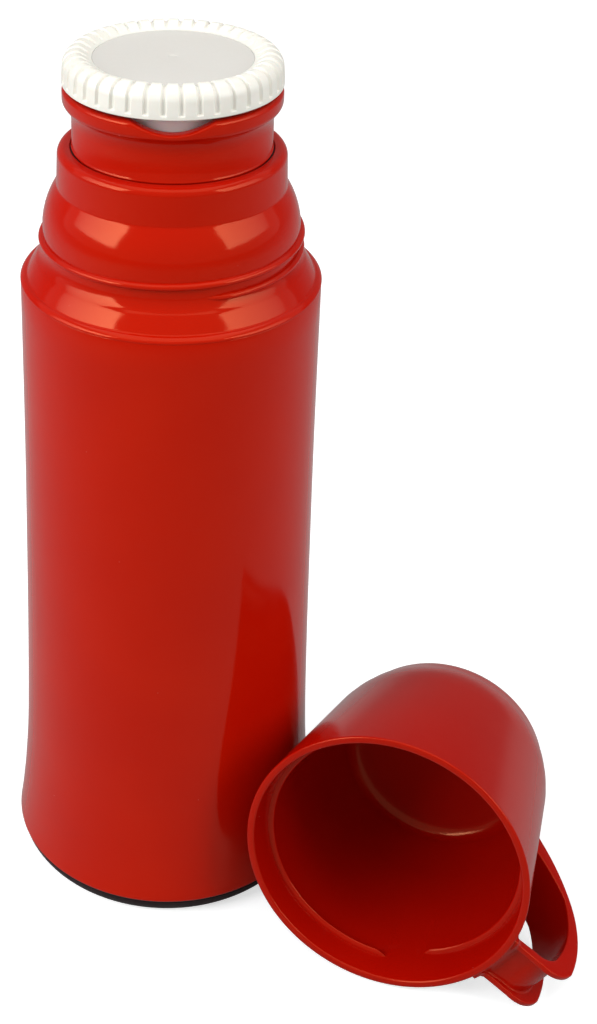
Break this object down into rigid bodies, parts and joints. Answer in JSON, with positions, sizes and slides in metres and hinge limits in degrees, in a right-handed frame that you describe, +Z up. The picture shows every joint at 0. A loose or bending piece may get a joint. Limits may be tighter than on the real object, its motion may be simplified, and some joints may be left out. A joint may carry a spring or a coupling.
{
  "type": "vacuum flask",
  "caption": "Glass-lined vacuum flask with a ribbed screw stopper and a taper-sided cup with a handle, which lies on its side in front of it.",
  "frame": {"origin": "centre of the flask's base, on the surface that it stands on", "axes": "+Z up along the flask's axis; the pouring notch faces -Y; the cup lies towards +X and -Y"},
  "size_m": [0.205, 0.1619, 0.3114],
  "materials": {
    "red_body": "glossy moulded polypropylene",
    "red_cup": "glossy moulded polypropylene",
    "white_knob": "satin moulded plastic",
    "grey_disc": "fine matt plastic",
    "milky_plug": "translucent moulded plastic",
    "silicone": "soft matt silicone",
    "black_rubber": "matt rubber",
    "black_base": "fine textured plastic",
    "white_foam": "closed-cell foam",
    "pad_felt": "mineral felt",
    "silvered_glass": "silvered glass"
  },
  "bodies": {
    "flask": {"outer_shell": "red_body", "shoulder": "red_body", "pour_collar": "red_body", "collar_seal": "black_rubber", "seam_seal": "black_rubber", "neck_seal": "silicone", "centring_ring": "white_foam", "inner_glass": "silvered_glass", "outer_glass": "silvered_glass", "spacer_pads": "pad_felt", "bottom_cushion": "white_foam", "base_plate": "black_base", "base_gasket": "black_rubber", "foot_ring": "black_rubber"},
    "stopper_core": {"stopper_foam": "white_foam", "stopper_gasket": "silicone"},
    "stopper": {"knob": "white_knob", "knob_disc": "grey_disc", "stopper_plug": "milky_plug", "stopper_end_cap": "milky_plug"},
    "cup": {"cup": "red_cup"}
  },
  "joints": [
    {"name": "stopper_rise", "type": "slide", "parent": "flask", "child": "stopper_core", "axis": [0, 0, 1], "range_m": [0, 0.00801]},
    {"name": "stopper_turn", "type": "hinge", "parent": "stopper_core", "child": "stopper", "pos_m": [0, 0, 0.29], "axis": [0, 0, 1], "range_deg": [0, 720]},
    {"name": "cup_lift", "type": "slide", "parent": "flask", "child": "cup", "axis": [0, 0, 1], "range_m": [0, 0.15]}
  ],
  "couplings": [
    {"joint": "stopper_rise", "follows": "stopper_turn", "m_per_rad": 0.00063662}
  ]
}
